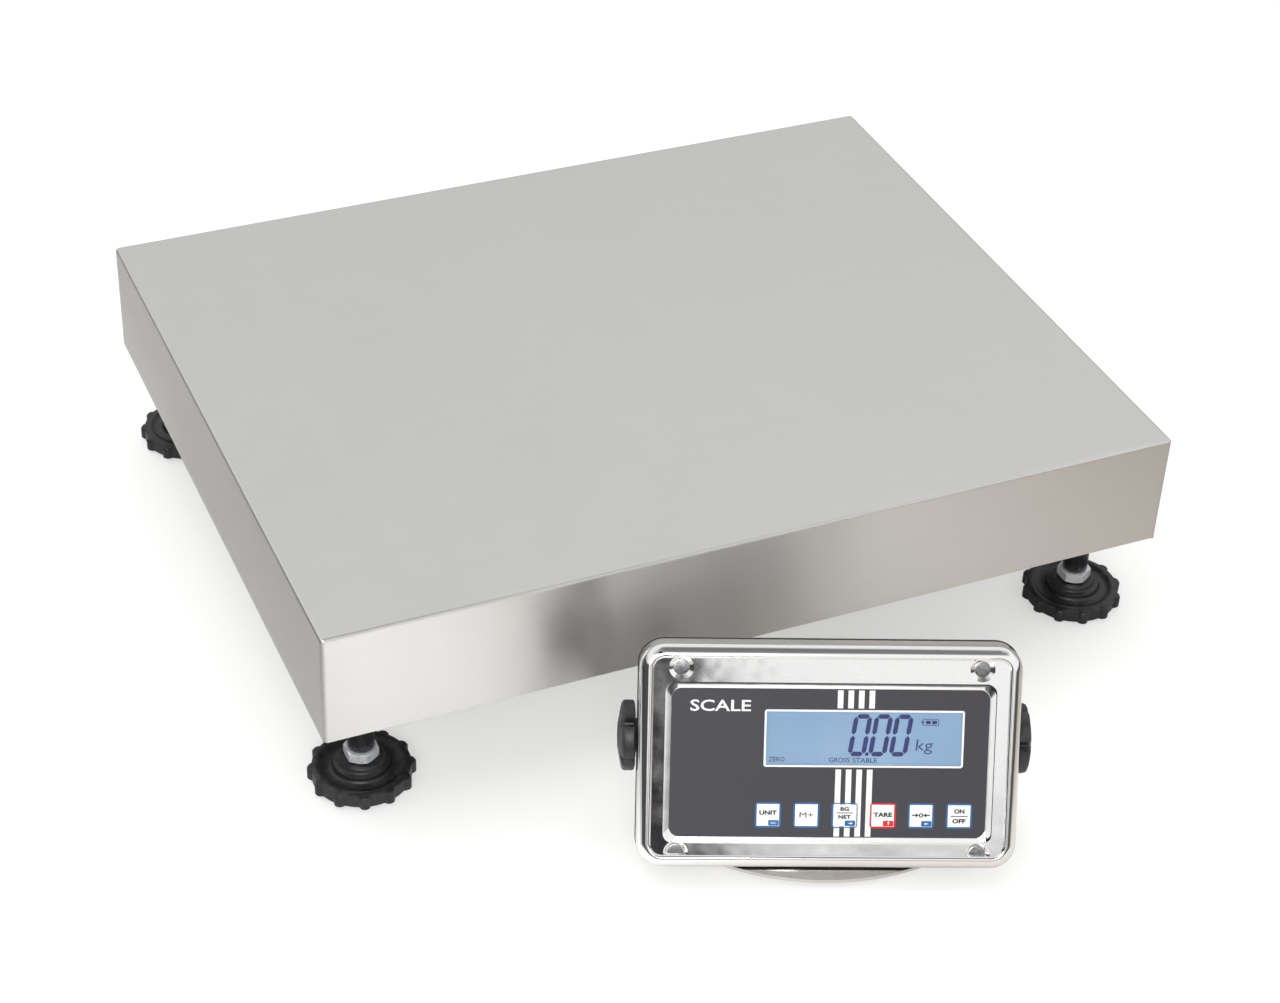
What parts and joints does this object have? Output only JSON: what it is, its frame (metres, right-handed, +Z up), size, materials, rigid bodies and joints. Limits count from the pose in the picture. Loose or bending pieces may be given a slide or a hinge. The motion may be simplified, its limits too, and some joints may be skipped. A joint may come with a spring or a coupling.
{
  "type": "animal weighing scale",
  "caption": "Stainless platform scale on levelling feet, with a lift-off weighing pan over a load cell and a separate tilting display unit on a stand.",
  "frame": {"origin": "on the floor under the middle of the box round the platform and the display unit", "axes": "+Z up, front towards -Y, the long side of the pan along X"},
  "size_m": [0.5, 0.5676, 0.1264],
  "materials": {
    "brushed_stainless": "fine brushed",
    "frame_stainless": "satin",
    "polished_stainless": "polished",
    "zinc_steel": "bright zinc",
    "aluminium": "machined",
    "black_plastic": "moulded",
    "rubber": "matt",
    "overlay": "fine matt",
    "key_blue": "printed",
    "key_red": "printed",
    "clear_window": "clear",
    "lcd": "backlit",
    "circuit_board": "lacquered",
    "battery_wrap": "shrink wrap"
  },
  "bodies": {
    "base": {"base_rail_left": "frame_stainless", "base_rail_right": "frame_stainless", "base_cross_beam": "frame_stainless", "load_cell_lower_spacer": "zinc_steel", "load_cell": "aluminium", "load_cell_bolt_fixed_1": "zinc_steel", "load_cell_bolt_fixed_2": "zinc_steel", "level_housing": "black_plastic", "level_glass": "clear_window", "platform_cable_gland": "black_plastic"},
    "carrier": {"load_cell_upper_spacer": "zinc_steel", "carrier_beam": "frame_stainless", "carrier_arm_left": "frame_stainless", "carrier_arm_right": "frame_stainless", "load_cell_bolt_free_1": "zinc_steel", "load_cell_bolt_free_2": "zinc_steel", "pan_buffer_front_left": "rubber", "pan_buffer_front_right": "rubber", "pan_buffer_rear_left": "rubber", "pan_buffer_rear_right": "rubber"},
    "pan": {"weighing_pan": "brushed_stainless"},
    "foot_front_left": {"foot_pad_front_left": "rubber"},
    "wheel_front_left": {"foot_wheel_front_left": "black_plastic", "foot_stud_front_left": "zinc_steel"},
    "nut_front_left": {"lock_nut_front_left": "zinc_steel"},
    "foot_front_right": {"foot_pad_front_right": "rubber"},
    "wheel_front_right": {"foot_wheel_front_right": "black_plastic", "foot_stud_front_right": "zinc_steel"},
    "nut_front_right": {"lock_nut_front_right": "zinc_steel"},
    "foot_rear_left": {"foot_pad_rear_left": "rubber"},
    "wheel_rear_left": {"foot_wheel_rear_left": "black_plastic", "foot_stud_rear_left": "zinc_steel"},
    "nut_rear_left": {"lock_nut_rear_left": "zinc_steel"},
    "foot_rear_right": {"foot_pad_rear_right": "rubber"},
    "wheel_rear_right": {"foot_wheel_rear_right": "black_plastic", "foot_stud_rear_right": "zinc_steel"},
    "nut_rear_right": {"lock_nut_rear_right": "zinc_steel"},
    "stand": {"stand_bracket": "polished_stainless", "stand_foot_front_left": "rubber", "stand_foot_front_right": "rubber", "stand_foot_rear_left": "rubber", "stand_foot_rear_right": "rubber"},
    "head": {"front_shell": "polished_stainless", "housing_gasket": "rubber", "rear_shell": "polished_stainless", "keypad_overlay": "overlay", "display_window": "clear_window", "lcd_module": "lcd", "main_board": "circuit_board", "battery_pack": "battery_wrap", "inlet_gland_left": "black_plastic", "inlet_gland_right": "black_plastic"},
    "knob_left": {"knob_left": "black_plastic"},
    "knob_right": {"knob_right": "black_plastic"},
    "key_unit": {"key_unit": "key_blue"},
    "key_memory": {"key_memory": "key_blue"},
    "key_net": {"key_net": "key_blue"},
    "key_tare": {"key_tare": "key_red"},
    "key_zero": {"key_zero": "key_blue"},
    "key_power": {"key_power": "key_blue"}
  },
  "joints": [
    {"name": "load_travel", "type": "slide", "parent": "base", "child": "carrier", "axis": [0, 0, 1], "range_m": [-0.0003, 0], "stiffness_N_per_m": 500000, "springref_m": 0.00025},
    {"name": "pan_lift", "type": "slide", "parent": "carrier", "child": "pan", "axis": [0, 0, 1], "range_m": [0, 0.12]},
    {"name": "foot_height_front_left", "type": "slide", "parent": "base", "child": "foot_front_left", "axis": [0, 0, 1], "range_m": [-0.015, 0]},
    {"name": "foot_turn_front_left", "type": "hinge", "parent": "foot_front_left", "child": "wheel_front_left", "pos_m": [-0.2204, -0.08488, 0], "axis": [0, 0, 1], "range_deg": [-3600, 0]},
    {"name": "lock_nut_turn_front_left", "type": "hinge", "parent": "base", "child": "nut_front_left", "pos_m": [-0.2204, -0.08488, 0.019], "axis": [0, 0, 1], "range_deg": [-144, 0]},
    {"name": "foot_height_front_right", "type": "slide", "parent": "base", "child": "foot_front_right", "axis": [0, 0, 1], "range_m": [-0.015, 0]},
    {"name": "foot_turn_front_right", "type": "hinge", "parent": "foot_front_right", "child": "wheel_front_right", "pos_m": [0.2204, -0.08488, 0], "axis": [0, 0, 1], "range_deg": [-3600, 0]},
    {"name": "lock_nut_turn_front_right", "type": "hinge", "parent": "base", "child": "nut_front_right", "pos_m": [0.2204, -0.08488, 0.019], "axis": [0, 0, 1], "range_deg": [-144, 0]},
    {"name": "foot_height_rear_left", "type": "slide", "parent": "base", "child": "foot_rear_left", "axis": [0, 0, 1], "range_m": [-0.015, 0]},
    {"name": "foot_turn_rear_left", "type": "hinge", "parent": "foot_rear_left", "child": "wheel_rear_left", "pos_m": [-0.2204, 0.25232, 0], "axis": [0, 0, 1], "range_deg": [-3600, 0]},
    {"name": "lock_nut_turn_rear_left", "type": "hinge", "parent": "base", "child": "nut_rear_left", "pos_m": [-0.2204, 0.25232, 0.019], "axis": [0, 0, 1], "range_deg": [-144, 0]},
    {"name": "foot_height_rear_right", "type": "slide", "parent": "base", "child": "foot_rear_right", "axis": [0, 0, 1], "range_m": [-0.015, 0]},
    {"name": "foot_turn_rear_right", "type": "hinge", "parent": "foot_rear_right", "child": "wheel_rear_right", "pos_m": [0.2204, 0.25232, 0], "axis": [0, 0, 1], "range_deg": [-3600, 0]},
    {"name": "lock_nut_turn_rear_right", "type": "hinge", "parent": "base", "child": "nut_rear_right", "pos_m": [0.2204, 0.25232, 0.019], "axis": [0, 0, 1], "range_deg": [-144, 0]},
    {"name": "unit_place", "type": "slide", "parent": "base", "child": "stand", "axis": [0, -1, 0], "range_m": [0, 0.3]},
    {"name": "head_tilt", "type": "hinge", "parent": "stand", "child": "head", "pos_m": [-0.0056, -0.20228, 0.05737], "axis": [-0.9298, 0.3681, 0], "range_deg": [-2, 45]},
    {"name": "knob_turn_left", "type": "hinge", "parent": "head", "child": "knob_left", "pos_m": [-0.09858, -0.16547, 0.05737], "axis": [-0.9298, 0.3681, 0], "range_deg": [0, 180]},
    {"name": "knob_turn_right", "type": "hinge", "parent": "head", "child": "knob_right", "pos_m": [0.08738, -0.23909, 0.05737], "axis": [0.9298, -0.3681, 0], "range_deg": [0, 180]},
    {"name": "key_press_unit", "type": "slide", "parent": "head", "child": "key_unit", "axis": [0.3286, 0.8299, -0.4509], "range_m": [0, 0.0005], "stiffness_N_per_m": 1500, "springref_m": -0.0003},
    {"name": "key_press_memory", "type": "slide", "parent": "head", "child": "key_memory", "axis": [0.3286, 0.8299, -0.4509], "range_m": [0, 0.0005], "stiffness_N_per_m": 1500, "springref_m": -0.0003},
    {"name": "key_press_net", "type": "slide", "parent": "head", "child": "key_net", "axis": [0.3286, 0.8299, -0.4509], "range_m": [0, 0.0005], "stiffness_N_per_m": 1500, "springref_m": -0.0003},
    {"name": "key_press_tare", "type": "slide", "parent": "head", "child": "key_tare", "axis": [0.3286, 0.8299, -0.4509], "range_m": [0, 0.0005], "stiffness_N_per_m": 1500, "springref_m": -0.0003},
    {"name": "key_press_zero", "type": "slide", "parent": "head", "child": "key_zero", "axis": [0.3286, 0.8299, -0.4509], "range_m": [0, 0.0005], "stiffness_N_per_m": 1500, "springref_m": -0.0003},
    {"name": "key_press_power", "type": "slide", "parent": "head", "child": "key_power", "axis": [0.3286, 0.8299, -0.4509], "range_m": [0, 0.0005], "stiffness_N_per_m": 1500, "springref_m": -0.0003}
  ],
  "couplings": [
    {"joint": "foot_height_front_left", "follows": "foot_turn_front_left", "m_per_rad": 0.00023873},
    {"joint": "foot_height_front_right", "follows": "foot_turn_front_right", "m_per_rad": 0.00023873},
    {"joint": "foot_height_rear_left", "follows": "foot_turn_rear_left", "m_per_rad": 0.00023873},
    {"joint": "foot_height_rear_right", "follows": "foot_turn_rear_right", "m_per_rad": 0.00023873}
  ]
}
